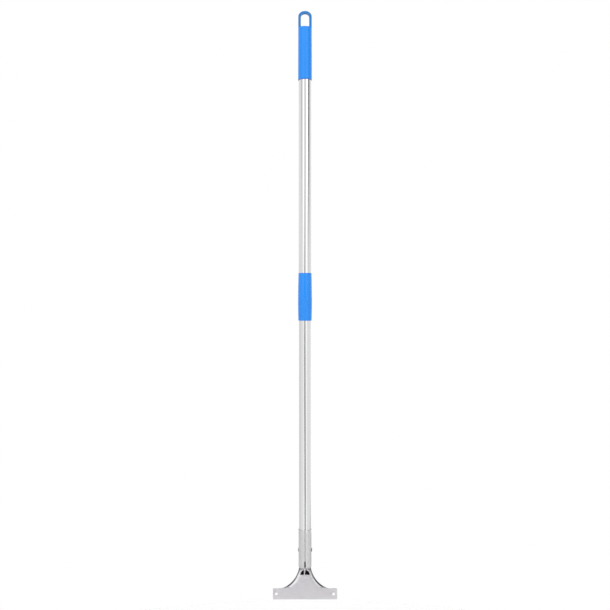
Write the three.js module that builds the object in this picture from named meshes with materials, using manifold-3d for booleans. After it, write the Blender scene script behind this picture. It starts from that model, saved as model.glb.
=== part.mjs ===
// A long-handled T-head squeegee handle: a stamped steel head on a two-stage telescopic pole with
// an inside twist lock, a plastic collar between the stages and a grip that ends in a hanging loop.
// Millimetres. +Z runs up the pole, +X along the head's width, and -Y is the front, the side that
// the flanges and the seam face. Heights are counted from the head's lower edge, on the pole's axis,
// and the finished assembly is lowered so that its origin is the top of the hanging loop's hole.
import * as THREE from 'three';
import { mergeVertices } from 'three/addons/utils/BufferGeometryUtils.js';
import Module from 'manifold-3d';

const wasm = await Module();
wasm.setup();

// ---------------------------------------------------------------- driving dimensions
const TOTAL_LENGTH = 1175.8;
const RUN_GAP = 0.3;              // between pieces that would touch
const ROUND = 40;                 // sides of a round piece

// head: one stamped sheet, a flat tab below a flanged web that rolls into a round neck
const SHEET = 0.8;
const HEAD_WIDTH = 128.5;
const TAB_HEIGHT = 22.2;
const TAB_CORNER = 1.8;
const TAB_EDGE_BEVEL = 3.2;       // height of the thinned lower edge
const HOLE_RADIUS = 2.75;
const HOLE_SPACING = 114.5;
const HOLE_HEIGHT = 10.8;
const FLANK_RADIUS = 56.2;        // the concave sides of the web
const FLANK_CENTRE_X = 67;
const FLANK_CENTRE_Z = 74.5;
const FLANGE_DEPTH = 8;
const FLANGE_WIDTH = 4.8;         // how far a flange curls in over the web, square to the flank
const BEND = 2.5;                 // radius of the flange's bend
const FLANGE_START = 27;          // height at which the flange has its full depth
const THROAT_BOTTOM = 49;         // the web leaves its plane here
const THROAT_TOP = 59;            // and has reached the back of the neck here
const NECK_ROUND = 66;            // the neck's lips meet the front here
const NECK_TOP = 77;
const NECK_RADIUS = 11.95;        // outside of the neck, inside the sleeve
const NECK_OPENING = 1.9;         // half the gap between the neck's lips inside the sleeve
const ARCH = { halfWidth: 9, bottom: 52.3, height: 10.1 };   // the lips part below this arch
const WING_STEPS = 6;
const CORNER_STEPS = 6;
const RIB = { left: -2.1, frontRight: -0.2, right: 1.5, slantDepth: 3.2, top: 64 };

// socket sleeve: a rolled tube with its seam at the front, split open at the bottom
const SLEEVE_RADIUS = 12.95;
const SLEEVE_BOTTOM = 65.6;
const SLEEVE_TOP = 141;
const SEAM_GAP = 0.22;            // half the seam's width
const SLIT_GAP = 1.0;             // half the slit's width
const SLIT_TOP = 81;
const SLIT_TIP = 4;               // length over which the seam opens into the slit
const SLIT_FLARE = 0.35;          // how far the slit's corners are sprung out

// pole
const INNER_RADIUS = 12.05;
const INNER_WALL = 0.5;
const INNER_BOTTOM = 79;
const INNER_TOP = 650;
const OUTER_RADIUS = 12.7;
const OUTER_WALL = 0.4;
const OUTER_BOTTOM = 566.5;
const OUTER_TOP = 1127.5;

// rivets that hold the pole in the sleeve
const RIVET_HEIGHT = 99.4;
const RIVET_HEAD_RADIUS = 3.8;
const RIVET_HEAD_RISE = 1.25;
const RIVET_SHANK_RADIUS = 2;
const RIVET_BORE = 1.1;
const MANDREL_RADIUS = 0.8;

// collar between the stages
const COLLAR_BOTTOM = 557.5;
const COLLAR_TOP = 652.6;
const COLLAR_LIP = 8.5;           // length of the narrow mouth that guides the inner tube
const COLLAR_RADII = { bottom: 13.25, belly: 13.93, top: 13.15 };
const COLLAR_BELLY_HEIGHT = 600;

// grip with its hanging loop
const GRIP_BOTTOM = 1038;
const GRIP_RADIUS_BOTTOM = 13.8;
const GRIP_RADIUS_TOP = 13.5;
const GRIP_BORE_TOP = 1128.5;
const LOOP_THICKNESS = 9;
const LOOP_SHOULDER = 1143.5;     // the round body ends here, and the flat loop stands on it
const LOOP_SHOULDER_ROUND = 1.6;
const LOOP_ARCH = 11.4;           // rise of the loop's elliptical top
const LOOP_HOLE_WIDTH = 16.8;
const LOOP_HOLE_ARCH = 7;         // rise of the hole's elliptical top
const LOOP_HOLE_BOTTOM = 1144.4;
const LOOP_HOLE_TOP = 1171.3;
const LOOP_HOLE_CORNER = 2;

// twist lock on the inner tube's upper end
const SCREW_RADIUS = 4;           // M8
const SCREW_BORE = 4.25;
const LOCK_FLANGE = { radius: 12, bottom: INNER_TOP + 0.3, top: INNER_TOP + 4 };
const PLUG_LENGTH = 26;
const WASHER = { radius: 9.5, bottom: INNER_TOP + 4.3, thickness: 1.2 };
const EXPANDER = { radius: 12.08, bottom: INNER_TOP + 5.8, height: 40, floor: 5, slotWidth: 2.6 };
const CONE = { bottom: INNER_TOP + 21, height: 22, small: 6.2, large: 10.2, ribWidth: 2 };
const STOP_NUT = { bottom: INNER_TOP + 47.5, height: 6.5, radius: 7.5 };
const SCREW_TOP = INNER_TOP + 57;
const HEX_HEAD = { radius: 7.5, height: 5.3 };
const PIN_RADIUS = 1.5;
const PIN_HEIGHT = INNER_TOP - 9;
const PIN_INNER_END = 6;

// ---------------------------------------------------------------- materials
const steel = (name, color, roughness) =>
  new THREE.MeshStandardMaterial({ name, color, roughness, metalness: 1 });
const plastic = (name, color, roughness) =>
  new THREE.MeshStandardMaterial({ name, color, roughness, metalness: 0 });

const CHROME = '#d9dadb';
const STAMPED = '#cfccd0';
const BLUE = '#3a97fb';
const BLACK = '#1c1d20';
const NYLON = '#e8e6df';
const ZINC = '#b9bbbd';

// ---------------------------------------------------------------- geometry helpers
const QUARTER = 0.5523;           // handle length of a Bezier quarter circle
const smooth = (value, low, high) => THREE.MathUtils.smoothstep(value, low, high);
const rampUp = (value, low, high) => THREE.MathUtils.clamp((value - low) / (high - low), 0, 1);
const mix = THREE.MathUtils.lerp;

/** A three.js geometry as a manifold solid. */
function solid(geometry) {
  const bare = geometry.clone();
  bare.deleteAttribute('normal');
  bare.deleteAttribute('uv');
  const merged = mergeVertices(bare, 1e-4);
  return new wasm.Manifold(new wasm.Mesh({
    numProp: 3,
    vertProperties: new Float32Array(merged.attributes.position.array),
    triVerts: new Uint32Array(merged.index.array),
  }));
}

/** A manifold solid as a three.js geometry. */
function geometryOf(manifold) {
  const mesh = manifold.getMesh();
  const geometry = new THREE.BufferGeometry();
  geometry.setAttribute('position', new THREE.BufferAttribute(mesh.vertProperties, 3));
  geometry.setIndex(new THREE.BufferAttribute(mesh.triVerts, 1));
  geometry.computeVertexNormals();
  return geometry;
}

/** Turns an outline of [radius, z] points about the pole's axis. */
function turned(points, sides = ROUND) {
  const profile = points.map(([radius, z]) => new THREE.Vector2(radius, z));
  return new THREE.LatheGeometry(profile, sides).rotateX(Math.PI / 2);
}

/** A tube between two heights. */
function ring(inner, outer, bottom, top, sides = ROUND) {
  return turned([[inner, bottom], [outer, bottom], [outer, top], [inner, top], [inner, bottom]], sides);
}

/** A round bar along X through the pole at a height. */
function crossBar(radius, fromX, toX, height) {
  const bar = new THREE.CylinderGeometry(radius, radius, toX - fromX, 24);
  return bar.rotateZ(-Math.PI / 2).translate((fromX + toX) / 2, 0, height);
}

/** An outline in X and Z, given depth along Y about the XZ plane. */
function plate(shape, depth, curveSegments = 12) {
  const geometry = new THREE.ExtrudeGeometry(shape, { depth, bevelEnabled: false, curveSegments });
  return geometry.translate(0, 0, -depth / 2).rotateX(Math.PI / 2);
}

/** An outline in Y and Z, given width along X about the YZ plane. */
function slice(shape, width, curveSegments = 12) {
  const geometry = new THREE.ExtrudeGeometry(shape, { depth: width, bevelEnabled: false, curveSegments });
  return geometry.translate(0, 0, -width / 2).rotateX(Math.PI / 2).rotateZ(Math.PI / 2);
}

/** A closed sheet of even thickness about a grid of points, rows up the part. */
function sheet(rows, thickness) {
  const last = { row: rows.length - 1, col: rows[0].length - 1 };
  const front = [];
  const back = [];
  rows.forEach((row, i) => row.forEach((point, j) => {
    const along = row[Math.min(j + 1, last.col)].clone().sub(row[Math.max(j - 1, 0)]);
    const up = rows[Math.min(i + 1, last.row)][j].clone().sub(rows[Math.max(i - 1, 0)][j]);
    const normal = along.cross(up).setLength(thickness / 2);
    front.push(point.clone().add(normal));
    back.push(point.clone().sub(normal));
  }));
  const columns = rows[0].length;
  const f = (i, j) => i * columns + j;
  const b = (i, j) => front.length + f(i, j);
  const faces = [];
  const quad = (p, q, r, s) => faces.push(p, q, r, p, r, s);
  for (let i = 0; i < last.row; i++) {
    for (let j = 0; j < last.col; j++) {
      quad(f(i, j), f(i, j + 1), f(i + 1, j + 1), f(i + 1, j));
      quad(b(i, j), b(i + 1, j), b(i + 1, j + 1), b(i, j + 1));
    }
    quad(f(i, 0), f(i + 1, 0), b(i + 1, 0), b(i, 0));
    quad(f(i, last.col), b(i, last.col), b(i + 1, last.col), f(i + 1, last.col));
  }
  for (let j = 0; j < last.col; j++) {
    quad(f(0, j), b(0, j), b(0, j + 1), f(0, j + 1));
    quad(f(last.row, j), f(last.row, j + 1), b(last.row, j + 1), b(last.row, j));
  }
  const geometry = new THREE.BufferGeometry();
  geometry.setAttribute('position', new THREE.Float32BufferAttribute(
    [...front, ...back].flatMap((point) => point.toArray()), 3));
  geometry.setIndex(faces);
  geometry.computeVertexNormals();
  return geometry;
}

const assembly = new THREE.Group();

function add(name, geometry, material) {
  const mesh = new THREE.Mesh(geometry, material);
  mesh.name = name;
  assembly.add(mesh);
}

// ---------------------------------------------------------------- head
/** Half the outside width of the web or neck at a height. */
function halfWidth(z) {
  const rise = FLANK_CENTRE_Z - Math.min(z, FLANK_CENTRE_Z);
  const flank = FLANK_CENTRE_X - Math.sqrt(FLANK_RADIUS ** 2 - rise ** 2);
  return Math.max(flank, NECK_RADIUS);
}

/** The depth of the sheet's middle behind the web's plane, on the centre line. */
function floorDepth(z) {
  return (NECK_RADIUS - SHEET / 2) * Math.sin(Math.PI / 2 * rampUp(z, THROAT_BOTTOM, THROAT_TOP));
}

/** How far the flange's or neck's lip is from the centre line at a height. */
function lipDistance(z) {
  const rise = Math.max(FLANK_CENTRE_Z - z, 0) / FLANK_RADIUS;
  const lip = halfWidth(z) - SHEET / 2 - FLANGE_WIDTH / Math.sqrt(1 - rise ** 2);
  const up = rampUp(z, ARCH.bottom, ARCH.bottom + ARCH.height);
  return up > 0 ? Math.min(lip, Math.max(ARCH.halfWidth * Math.sqrt(1 - up ** 2), NECK_OPENING)) : lip;
}

/** One side of the web's or neck's cross-section at a height, from its centre line to its lip. */
function halfSection(z) {
  const side = halfWidth(z) - SHEET / 2;
  const flat = 1 - smooth(z, THROAT_BOTTOM, NECK_ROUND);
  const raised = smooth(z, TAB_HEIGHT - 0.5, FLANGE_START);
  const depth = floorDepth(z);

  // the floor: flat across the web, a quarter circle in the neck
  const bendX = (side - BEND) * flat ** 2;
  const bendY = -BEND * flat * raised;
  const corner = new THREE.CubicBezierCurve(
    new THREE.Vector2(bendX, depth),
    new THREE.Vector2(mix(bendX, side, QUARTER), depth),
    new THREE.Vector2(side, mix(bendY, depth, QUARTER)),
    new THREE.Vector2(side, bendY));

  // the wing: a curled flange on the web, a quarter circle with its lip near the front in the neck
  const round = NECK_RADIUS - SHEET / 2;
  const sweep = Math.acos(NECK_OPENING / round);
  const reach = raised * mix(round * Math.sin(sweep), FLANGE_DEPTH, flat) + bendY;
  const wing = Array.from({ length: WING_STEPS }, (_, i) => {
    const along = (i + 1) / WING_STEPS;
    const curl = (side - lipDistance(z)) * (1 - Math.cos(along * sweep)) / (1 - Math.cos(sweep));
    return new THREE.Vector2(
      mix(side + along, side - curl, raised),
      bendY - reach * Math.sin(along * sweep) / Math.sin(sweep));
  });

  const floor = [new THREE.Vector2(0, depth), new THREE.Vector2(Math.max(bendX / 2, 0.4), depth)];
  const skip = bendX < 1 ? 1 : 0;
  return [...floor, ...corner.getPoints(CORNER_STEPS + skip).slice(skip), ...wing];
}

/** A whole cross-section, from the left lip to the right one, as points at a height. */
function section(z) {
  const half = halfSection(z);
  const right = half.map((point) => new THREE.Vector3(point.x, point.y, z));
  const left = half.slice(1).reverse().map((point) => new THREE.Vector3(-point.x, point.y, z));
  return [...left, ...right];
}

function heights(from, to, steps) {
  return Array.from({ length: steps }, (_, i) => mix(from, to, i / steps));
}

function headPlate() {
  const levels = [
    ...heights(TAB_HEIGHT - 1.5, FLANGE_START, 4),
    ...heights(FLANGE_START, THROAT_BOTTOM, 6),
    ...heights(THROAT_BOTTOM, NECK_ROUND, 17),
    NECK_ROUND, NECK_TOP];
  const web = solid(sheet(levels.map(section), SHEET));

  const half = HEAD_WIDTH / 2;
  const outline = new THREE.Shape();
  outline.moveTo(-half + TAB_CORNER, 0);
  outline.lineTo(half - TAB_CORNER, 0);
  outline.absarc(half - TAB_CORNER, TAB_CORNER, TAB_CORNER, -Math.PI / 2, 0);
  outline.absarc(half - TAB_CORNER / 2, TAB_HEIGHT - TAB_CORNER / 2, TAB_CORNER / 2, 0, Math.PI / 2);
  outline.absarc(-half + TAB_CORNER / 2, TAB_HEIGHT - TAB_CORNER / 2, TAB_CORNER / 2,
    Math.PI / 2, Math.PI);
  outline.absarc(-half + TAB_CORNER, TAB_CORNER, TAB_CORNER, Math.PI, Math.PI * 1.5);
  for (const side of [-1, 1]) {
    const hole = new THREE.Path();
    hole.absarc(side * HOLE_SPACING / 2, HOLE_HEIGHT, HOLE_RADIUS, 0, Math.PI * 2, true);
    outline.holes.push(hole);
  }
  const tab = solid(plate(outline, SHEET));

  // the wedge that thins the lower edge from the front
  const wedge = new THREE.Shape([
    new THREE.Vector2(-SHEET, -1),
    new THREE.Vector2(0, -1),
    new THREE.Vector2(-SHEET / 2, TAB_EDGE_BEVEL),
    new THREE.Vector2(-SHEET, TAB_EDGE_BEVEL)]);

  // the rib that stands in the throat, from the web's front face back to the neck's rear wall
  const rib = new THREE.Shape([
    new THREE.Vector2(-SHEET / 2, THROAT_BOTTOM - 2),
    new THREE.Vector2(0, THROAT_BOTTOM - 2),
    ...heights(THROAT_BOTTOM, THROAT_TOP, 8).map((z) => new THREE.Vector2(floorDepth(z), z)),
    new THREE.Vector2(NECK_RADIUS - SHEET / 2, THROAT_TOP),
    new THREE.Vector2(NECK_RADIUS - SHEET / 2, RIB.top),
    new THREE.Vector2(-SHEET / 2, RIB.top)]);
  const ribPlan = new THREE.Shape([
    new THREE.Vector2(RIB.left, -SHEET / 2),
    new THREE.Vector2(RIB.frontRight, -SHEET / 2),
    new THREE.Vector2(RIB.right, RIB.slantDepth),
    new THREE.Vector2(RIB.right, NECK_RADIUS),
    new THREE.Vector2(RIB.left, NECK_RADIUS)]);
  const ribColumn = new THREE.ExtrudeGeometry(ribPlan, { depth: RIB.top + 1, bevelEnabled: false });

  return geometryOf(tab.add(web)
    .add(solid(slice(rib, 2 * NECK_RADIUS)).intersect(solid(ribColumn)))
    .subtract(solid(slice(wedge, HEAD_WIDTH + 2))));
}

// ---------------------------------------------------------------- socket sleeve
function socketSleeve() {
  const middle = SLEEVE_RADIUS - SHEET / 2;
  const wrap = (z) => {
    const open = 1 - smooth(z, SLEEVE_BOTTOM, SLIT_TOP);
    const gap = mix(SLIT_GAP, SEAM_GAP, rampUp(z, SLIT_TOP - SLIT_TIP, SLIT_TOP));
    const reach = Math.PI - Math.asin(gap / middle);
    return Array.from({ length: ROUND + 1 }, (_, i) => {
      const angle = mix(-reach, reach, i / ROUND);
      const sprung = middle + SLIT_FLARE * open * Math.abs(angle / Math.PI) ** 8;
      return new THREE.Vector3(sprung * Math.sin(angle), sprung * Math.cos(angle), z);
    });
  };
  const levels = [...heights(SLEEVE_BOTTOM, SLIT_TOP - SLIT_TIP, 3), SLIT_TOP - SLIT_TIP, SLIT_TOP,
    SLEEVE_TOP];
  const hole = crossBar(RIVET_SHANK_RADIUS + RUN_GAP, -20, 20, RIVET_HEIGHT);
  return geometryOf(solid(sheet(levels.map(wrap), SHEET)).subtract(solid(hole)));
}

// ---------------------------------------------------------------- pole tubes
function innerTube() {
  const tube = ring(INNER_RADIUS - INNER_WALL, INNER_RADIUS, INNER_BOTTOM, INNER_TOP);
  const rivetHole = crossBar(RIVET_SHANK_RADIUS + RUN_GAP, -20, 20, RIVET_HEIGHT);
  const pinHole = crossBar(PIN_RADIUS + 0.2, -20, 20, PIN_HEIGHT);
  return geometryOf(solid(tube).subtract(solid(rivetHole)).subtract(solid(pinHole)));
}

function outerTube() {
  return ring(OUTER_RADIUS - OUTER_WALL, OUTER_RADIUS, OUTER_BOTTOM, OUTER_TOP);
}

// ---------------------------------------------------------------- rivets
/** A set blind rivet along +X from the pole's axis: a domed head outside, a bulb inside. */
function rivetBody() {
  const seat = SLEEVE_RADIUS + 0.15;
  const bulbRadius = 2.9;
  const bulbFrom = 8.2;
  const bulbTo = INNER_RADIUS - INNER_WALL - RUN_GAP;
  const dome = [20, 45, 70].map((degrees) => {
    const angle = THREE.MathUtils.degToRad(degrees);
    return [RIVET_HEAD_RADIUS * Math.cos(angle), seat + RIVET_HEAD_RISE * Math.sin(angle)];
  });
  return turned([
    [RIVET_BORE, bulbFrom],
    [RIVET_SHANK_RADIUS, bulbFrom],
    [bulbRadius, bulbFrom + 0.9],
    [bulbRadius, bulbTo - 0.7],
    [RIVET_SHANK_RADIUS, bulbTo],
    [RIVET_SHANK_RADIUS, seat],
    [RIVET_HEAD_RADIUS, seat],
    ...dome,
    [RIVET_BORE, seat + RIVET_HEAD_RISE],
    [RIVET_BORE, bulbFrom]], 18);
}

/** The mandrel that stays in the rivet, with its head inside the pole. */
function rivetMandrel() {
  const headRadius = 1.9;
  const headBottom = 6;
  const headTop = 7.9;
  return turned([
    [0, headBottom],
    [headRadius, headBottom + 0.5],
    [headRadius, headTop],
    [MANDREL_RADIUS, headTop],
    [MANDREL_RADIUS, SLEEVE_RADIUS + 0.9],
    [0, SLEEVE_RADIUS + 0.9]], 16);
}

/** Lays a piece made along +Z on the pole's side: side 1 is right, -1 is left. */
const onSide = (geometry, side, height) =>
  geometry.rotateY(side * Math.PI / 2).translate(0, 0, height);

// ---------------------------------------------------------------- collar
function collar() {
  const belly = new THREE.SplineCurve([
    new THREE.Vector2(COLLAR_RADII.bottom, COLLAR_BOTTOM + 1.4),
    new THREE.Vector2(COLLAR_RADII.belly, COLLAR_BELLY_HEIGHT),
    new THREE.Vector2(COLLAR_RADII.top, COLLAR_TOP - 0.8)]);
  const lipRadius = INNER_RADIUS + 0.2;
  const boreRadius = OUTER_RADIUS + 0.1;
  return turned([
    [lipRadius, COLLAR_BOTTOM],
    [COLLAR_RADII.bottom - 0.5, COLLAR_BOTTOM],
    [COLLAR_RADII.bottom - 0.15, COLLAR_BOTTOM + 0.5],
    ...belly.getPoints(7).map((point) => point.toArray()),
    [COLLAR_RADII.top - 0.15, COLLAR_TOP],
    [boreRadius, COLLAR_TOP],
    [boreRadius, COLLAR_BOTTOM + COLLAR_LIP],
    [lipRadius, COLLAR_BOTTOM + COLLAR_LIP],
    [lipRadius, COLLAR_BOTTOM]]);
}

// ---------------------------------------------------------------- grip
function grip() {
  const round = LOOP_SHOULDER_ROUND;
  const halfLoop = LOOP_THICKNESS / 2;
  const foot = 1.5;               // fillet between the body's end and the loop
  const shoulder = [30, 60, 82].map((degrees) => {
    const angle = THREE.MathUtils.degToRad(degrees);
    return [GRIP_RADIUS_TOP - round * (1 - Math.cos(angle)),
      LOOP_SHOULDER - round * (1 - Math.sin(angle))];
  });
  const body = turned([
    [0, GRIP_BOTTOM],
    [GRIP_RADIUS_BOTTOM - 0.4, GRIP_BOTTOM],
    [GRIP_RADIUS_BOTTOM, GRIP_BOTTOM + 0.6],
    [GRIP_RADIUS_TOP, LOOP_SHOULDER - round],
    ...shoulder,
    [halfLoop + foot, LOOP_SHOULDER + 0.5],
    [0, LOOP_SHOULDER + 0.5]]);
  const column = turned([
    [0, LOOP_SHOULDER - round],
    [GRIP_RADIUS_TOP, LOOP_SHOULDER - round],
    [GRIP_RADIUS_TOP, TOTAL_LENGTH + 1],
    [0, TOTAL_LENGTH + 1]]);

  // the loop's front outline: straight sides under an elliptical top, and the hole
  const front = new THREE.Shape();
  front.moveTo(-GRIP_RADIUS_TOP, LOOP_SHOULDER - 2 * round);
  front.lineTo(GRIP_RADIUS_TOP, LOOP_SHOULDER - 2 * round);
  front.absellipse(0, TOTAL_LENGTH - LOOP_ARCH, GRIP_RADIUS_TOP, LOOP_ARCH, 0, Math.PI);
  const hole = new THREE.Path();
  const holeHalf = LOOP_HOLE_WIDTH / 2;
  const corner = LOOP_HOLE_CORNER;
  hole.absellipse(0, LOOP_HOLE_TOP - LOOP_HOLE_ARCH, holeHalf, LOOP_HOLE_ARCH, 0, Math.PI);
  hole.absarc(-holeHalf + corner, LOOP_HOLE_BOTTOM + corner, corner, Math.PI, Math.PI * 1.5);
  hole.absarc(holeHalf - corner, LOOP_HOLE_BOTTOM + corner, corner, -Math.PI / 2, 0);
  front.holes.push(hole);

  // the loop's side outline: a filleted foot and a rounded top
  const rounding = 2.5;
  const side = new THREE.Shape();
  side.moveTo(-halfLoop - foot, LOOP_SHOULDER - 2 * round);
  side.lineTo(halfLoop + foot, LOOP_SHOULDER - 2 * round);
  side.lineTo(halfLoop + foot, LOOP_SHOULDER + 0.5);
  side.quadraticCurveTo(halfLoop, LOOP_SHOULDER + 0.5, halfLoop, LOOP_SHOULDER + 0.5 + foot);
  side.absarc(halfLoop - rounding, TOTAL_LENGTH - rounding, rounding, 0, Math.PI / 2);
  side.absarc(-halfLoop + rounding, TOTAL_LENGTH - rounding, rounding, Math.PI / 2, Math.PI);
  side.lineTo(-halfLoop, LOOP_SHOULDER + 0.5 + foot);
  side.quadraticCurveTo(-halfLoop, LOOP_SHOULDER + 0.5, -halfLoop - foot, LOOP_SHOULDER + 0.5);

  const loop = solid(column)
    .intersect(solid(plate(front, 2 * GRIP_RADIUS_TOP, 16)))
    .intersect(solid(slice(side, 4 * GRIP_RADIUS_TOP, 6)));
  const bore = turned([
    [0, GRIP_BOTTOM - 1],
    [OUTER_RADIUS + 0.1, GRIP_BOTTOM - 1],
    [OUTER_RADIUS + 0.1, GRIP_BORE_TOP],
    [0, GRIP_BORE_TOP]]);
  return geometryOf(solid(body).add(loop).subtract(solid(bore)));
}

// ---------------------------------------------------------------- twist lock
function spindlePlug() {
  const plugRadius = INNER_RADIUS - INNER_WALL - 0.1;
  const body = turned([
    [SCREW_BORE, INNER_TOP - PLUG_LENGTH],
    [plugRadius - 0.8, INNER_TOP - PLUG_LENGTH],
    [plugRadius, INNER_TOP - PLUG_LENGTH + 1.5],
    [plugRadius, LOCK_FLANGE.bottom],
    [LOCK_FLANGE.radius, LOCK_FLANGE.bottom],
    [LOCK_FLANGE.radius, LOCK_FLANGE.top - 0.5],
    [LOCK_FLANGE.radius - 0.5, LOCK_FLANGE.top],
    [SCREW_BORE, LOCK_FLANGE.top],
    [SCREW_BORE, INNER_TOP - PLUG_LENGTH]]);
  let plug = solid(body);
  for (const side of [-1, 1]) {
    const ends = [side * (PIN_INNER_END - RUN_GAP), side * 14].sort((a, b) => a - b);
    plug = plug.subtract(solid(crossBar(PIN_RADIUS + 0.2, ...ends, PIN_HEIGHT)));
  }
  return geometryOf(plug);
}

function lockScrew() {
  const headTop = INNER_TOP - PLUG_LENGTH - 0.2;
  const head = new THREE.CylinderGeometry(HEX_HEAD.radius, HEX_HEAD.radius, HEX_HEAD.height, 6)
    .rotateX(Math.PI / 2).translate(0, 0, headTop - HEX_HEAD.height / 2);
  const shank = turned([
    [0, headTop - 1],
    [SCREW_RADIUS, headTop - 1],
    [SCREW_RADIUS, SCREW_TOP - 1],
    [SCREW_RADIUS - 1, SCREW_TOP],
    [0, SCREW_TOP]], 24);
  return geometryOf(solid(head).add(solid(shank)));
}

function expanderSleeve() {
  const { radius, bottom, height, floor, slotWidth } = EXPANDER;
  const top = bottom + height;
  const groove = { bottom: bottom + 8, top: bottom + 10.6, radius: radius - 1.6 };
  const body = turned([
    [SCREW_BORE + 0.2, bottom],
    [radius - 0.6, bottom],
    [radius, bottom + 0.8],
    [radius, groove.bottom],
    [groove.radius, groove.bottom],
    [groove.radius, groove.top],
    [radius, groove.top],
    [radius, top - 1],
    [radius - 0.4, top],
    [coneRadius(top) + RUN_GAP, top],
    [coneRadius(CONE.bottom - 1) + RUN_GAP, CONE.bottom - 1],
    [coneRadius(CONE.bottom - 1) + RUN_GAP, bottom + floor],
    [SCREW_BORE + 0.2, bottom + floor],
    [SCREW_BORE + 0.2, bottom]]);
  let sleeve = solid(body);
  for (const turn of [0, Math.PI / 2]) {
    const slot = new THREE.BoxGeometry(4 * radius, slotWidth, height)
      .translate(0, 0, groove.top + 3 + height / 2).rotateZ(turn);
    sleeve = sleeve.subtract(solid(slot));
  }
  return geometryOf(sleeve);
}

/** The outside radius that the cone has, or would have, at a height. */
function coneRadius(z) {
  return mix(CONE.small, CONE.large, (z - CONE.bottom) / CONE.height);
}

function frictionRing() {
  const section = 0.75;
  const centre = EXPANDER.radius - 0.65;
  return new THREE.TorusGeometry(centre, section, 8, 32).translate(0, 0, EXPANDER.bottom + 9.3);
}

function coneNut() {
  const { bottom, height, small, large, ribWidth } = CONE;
  let nut = solid(turned([
    [0, bottom], [small, bottom], [large, bottom + height], [0, bottom + height]]));
  for (const turn of [0, Math.PI / 2]) {
    const rib = new THREE.BoxGeometry(2 * (EXPANDER.radius - 0.5), ribWidth, 8)
      .translate(0, 0, bottom + height - 4).rotateZ(turn);
    nut = nut.add(solid(rib));
  }
  const bore = turned([
    [0, bottom - 1], [SCREW_BORE, bottom - 1], [SCREW_BORE, bottom + height + 1],
    [0, bottom + height + 1]], 24);
  return geometryOf(nut.subtract(solid(bore)));
}

function stopNut() {
  const { bottom, height, radius } = STOP_NUT;
  const hexagon = new THREE.CylinderGeometry(radius, radius, height, 6)
    .rotateX(Math.PI / 2).translate(0, 0, bottom + height / 2);
  const bore = turned([
    [0, bottom - 1], [SCREW_BORE, bottom - 1], [SCREW_BORE, bottom + height + 1],
    [0, bottom + height + 1]], 24);
  return geometryOf(solid(hexagon).subtract(solid(bore)));
}

// ---------------------------------------------------------------- assembly
// upper stage
add('grip', grip(), plastic('grip', BLUE, 0.35));
add('outer_tube', outerTube(), steel('outer_tube', CHROME, 0.15));
add('collar', collar(), plastic('collar', BLUE, 0.2));

// twist lock, from the inner tube upwards
add('spindle_plug', spindlePlug(), plastic('spindle_plug', BLACK, 0.5));
for (const [name, side] of [['plug_pin_left', -1], ['plug_pin_right', 1]]) {
  const ends = [side * PIN_INNER_END, side * (INNER_RADIUS - 0.1)].sort((a, b) => a - b);
  add(name, crossBar(PIN_RADIUS, ...ends, PIN_HEIGHT), steel(name, ZINC, 0.35));
}
add('lock_screw', lockScrew(), steel('lock_screw', ZINC, 0.35));
add('thrust_washer', ring(SCREW_BORE, WASHER.radius, WASHER.bottom, WASHER.bottom + WASHER.thickness),
  steel('thrust_washer', ZINC, 0.35));
add('expander_sleeve', expanderSleeve(), plastic('expander_sleeve', NYLON, 0.45));
add('friction_ring', frictionRing(), plastic('friction_ring', BLACK, 0.8));
add('cone_nut', coneNut(), plastic('cone_nut', BLACK, 0.45));
add('stop_nut', stopNut(), steel('stop_nut', ZINC, 0.35));

// lower stage
add('inner_tube', innerTube(), steel('inner_tube', CHROME, 0.12));
add('socket_sleeve', socketSleeve(), steel('socket_sleeve', STAMPED, 0.4));
add('head_plate', headPlate(), steel('head_plate', STAMPED, 0.45));
for (const [suffix, side] of [['left', -1], ['right', 1]]) {
  add(`rivet_${suffix}`, onSide(rivetBody(), side, RIVET_HEIGHT), steel('rivet', ZINC, 0.3));
  add(`rivet_mandrel_${suffix}`, onSide(rivetMandrel(), side, RIVET_HEIGHT),
    steel('rivet_mandrel', ZINC, 0.4));
}

assembly.position.z = -LOOP_HOLE_TOP;

export default assembly;
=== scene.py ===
"""A long-handled squeegee handle with a stamped T-head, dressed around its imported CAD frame.

Lengths in this script are millimetres, and heights are counted up from the head's lower edge. They
become the frame's metres where a mesh is made.
"""

import math

import bmesh
import bpy
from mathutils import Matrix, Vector
from mathutils.geometry import delaunay_2d_cdt


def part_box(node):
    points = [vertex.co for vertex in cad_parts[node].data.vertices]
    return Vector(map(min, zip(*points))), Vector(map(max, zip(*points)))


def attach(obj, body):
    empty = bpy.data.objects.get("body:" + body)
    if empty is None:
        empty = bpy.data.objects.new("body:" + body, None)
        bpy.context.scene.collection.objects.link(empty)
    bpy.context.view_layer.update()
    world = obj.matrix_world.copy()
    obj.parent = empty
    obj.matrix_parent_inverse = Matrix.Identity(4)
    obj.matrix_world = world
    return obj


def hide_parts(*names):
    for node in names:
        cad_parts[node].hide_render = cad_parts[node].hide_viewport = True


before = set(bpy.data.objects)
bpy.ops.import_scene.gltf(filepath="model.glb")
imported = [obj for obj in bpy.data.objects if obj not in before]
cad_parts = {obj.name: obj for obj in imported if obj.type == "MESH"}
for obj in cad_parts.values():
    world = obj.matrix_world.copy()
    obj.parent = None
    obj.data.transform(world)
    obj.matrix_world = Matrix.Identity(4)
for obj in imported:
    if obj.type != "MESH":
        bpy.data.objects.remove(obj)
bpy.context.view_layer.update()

# ------------------------------------------------------------------ sizes, from the CAD frame
MM = 0.001
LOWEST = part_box("head_plate")[0].z


def height_of(node, end):
    """A CAD node's lowest (end 0) or highest (end 1) height above the head's lower edge."""
    return (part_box(node)[end].z - LOWEST) / MM


def radius_of(node):
    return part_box(node)[1].x / MM


TOTAL = height_of("grip", 1)
SHEET = 0.8

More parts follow.
